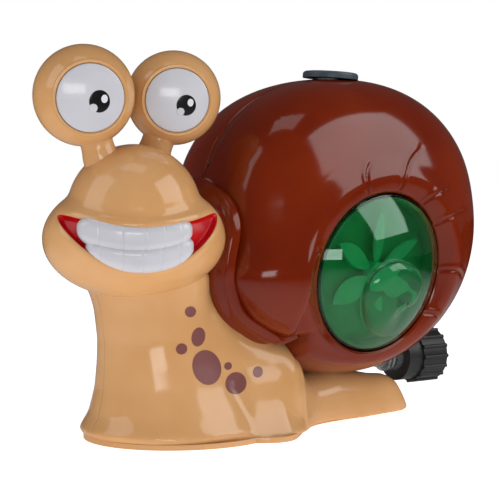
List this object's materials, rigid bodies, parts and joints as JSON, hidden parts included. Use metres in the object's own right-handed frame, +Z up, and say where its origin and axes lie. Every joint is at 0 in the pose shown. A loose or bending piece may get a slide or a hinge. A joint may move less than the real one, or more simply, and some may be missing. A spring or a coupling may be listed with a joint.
{
  "type": "garden sprinkler",
  "caption": "Snail-shaped garden hose sprinkler with a rotating spray head, a spinner behind each clear side window and a swivel hose nut at the rear.",
  "frame": {"origin": "on the ground under the foot, in the snail's middle plane, on the base plate's underside", "axes": "+Z up; the snail heads along -Y, so its left side is +X and the hose comes in from +Y"},
  "size_m": [0.1436, 0.2967, 0.2254],
  "materials": {
    "tan_shell": "glossy moulded skin",
    "brown_shell": "glossy moulded skin",
    "green_window": "clear tinted moulding",
    "green_spinner": "tinted moulding",
    "dish_plastic": "satin moulding",
    "white_plastic": "glossy moulding",
    "red_plastic": "glossy moulding",
    "black_plastic": "satin moulding",
    "grey_plastic": "satin moulding",
    "clear_plastic": "clear moulding",
    "inner_plastic": "natural moulding",
    "hose_vinyl": "soft tube",
    "washer_rubber": "plain",
    "steel": "zinc plated"
  },
  "bodies": {
    "toy": {"base_plate": "tan_shell", "base_screws": "steel", "body_left_half": "tan_shell", "body_right_half": "tan_shell", "body_screws": "steel", "head_back": "tan_shell", "head_face": "tan_shell", "head_screws": "steel", "hose_washer": "washer_rubber", "inlet_fitting": "clear_plastic", "left_bush": "inner_plastic", "left_dish": "dish_plastic", "left_dome": "green_window", "left_eye_ball": "tan_shell", "left_eye_stalk": "tan_shell", "left_eye_white": "white_plastic", "left_jet_nozzle": "inner_plastic", "left_jet_tube": "hose_vinyl", "lower_teeth": "white_plastic", "manifold": "inner_plastic", "mouth_lining": "red_plastic", "neck_cap": "tan_shell", "right_bush": "inner_plastic", "right_dish": "dish_plastic", "right_dome": "green_window", "right_eye_ball": "tan_shell", "right_eye_stalk": "tan_shell", "right_eye_white": "white_plastic", "right_jet_nozzle": "inner_plastic", "right_jet_tube": "hose_vinyl", "riser_cuff": "hose_vinyl", "riser_tube": "hose_vinyl", "shell_left_half": "brown_shell", "shell_lip": "brown_shell", "shell_right_half": "brown_shell", "shell_screws": "steel", "spray_seat": "inner_plastic", "upper_teeth": "white_plastic"},
    "hose_swivel": {"hose_nut": "black_plastic"},
    "spray_head": {"spray_disc": "grey_plastic"},
    "left_spinner": {"left_spinner_axle": "steel", "left_leaf_spinner": "green_spinner", "left_spinner_cap": "green_spinner"},
    "right_spinner": {"right_spinner_axle": "steel", "right_leaf_spinner": "green_spinner", "right_spinner_cap": "green_spinner"}
  },
  "joints": [
    {"name": "hose_nut_swivel", "type": "hinge", "parent": "toy", "child": "hose_swivel", "pos_m": [0, 0.122, 0.034], "axis": [0, 1, 0], "continuous": true},
    {"name": "spray_head_spin", "type": "hinge", "parent": "toy", "child": "spray_head", "pos_m": [0, 0.068, 0.2086], "axis": [0, 0.0698, 0.9976], "continuous": true},
    {"name": "left_spinner_spin", "type": "hinge", "parent": "toy", "child": "left_spinner", "pos_m": [0.052, 0.065, 0.093], "axis": [0.9845, 0.0637, -0.1633], "continuous": true},
    {"name": "right_spinner_spin", "type": "hinge", "parent": "toy", "child": "right_spinner", "pos_m": [-0.052, 0.065, 0.093], "axis": [-0.9845, 0.0637, -0.1633], "continuous": true}
  ]
}
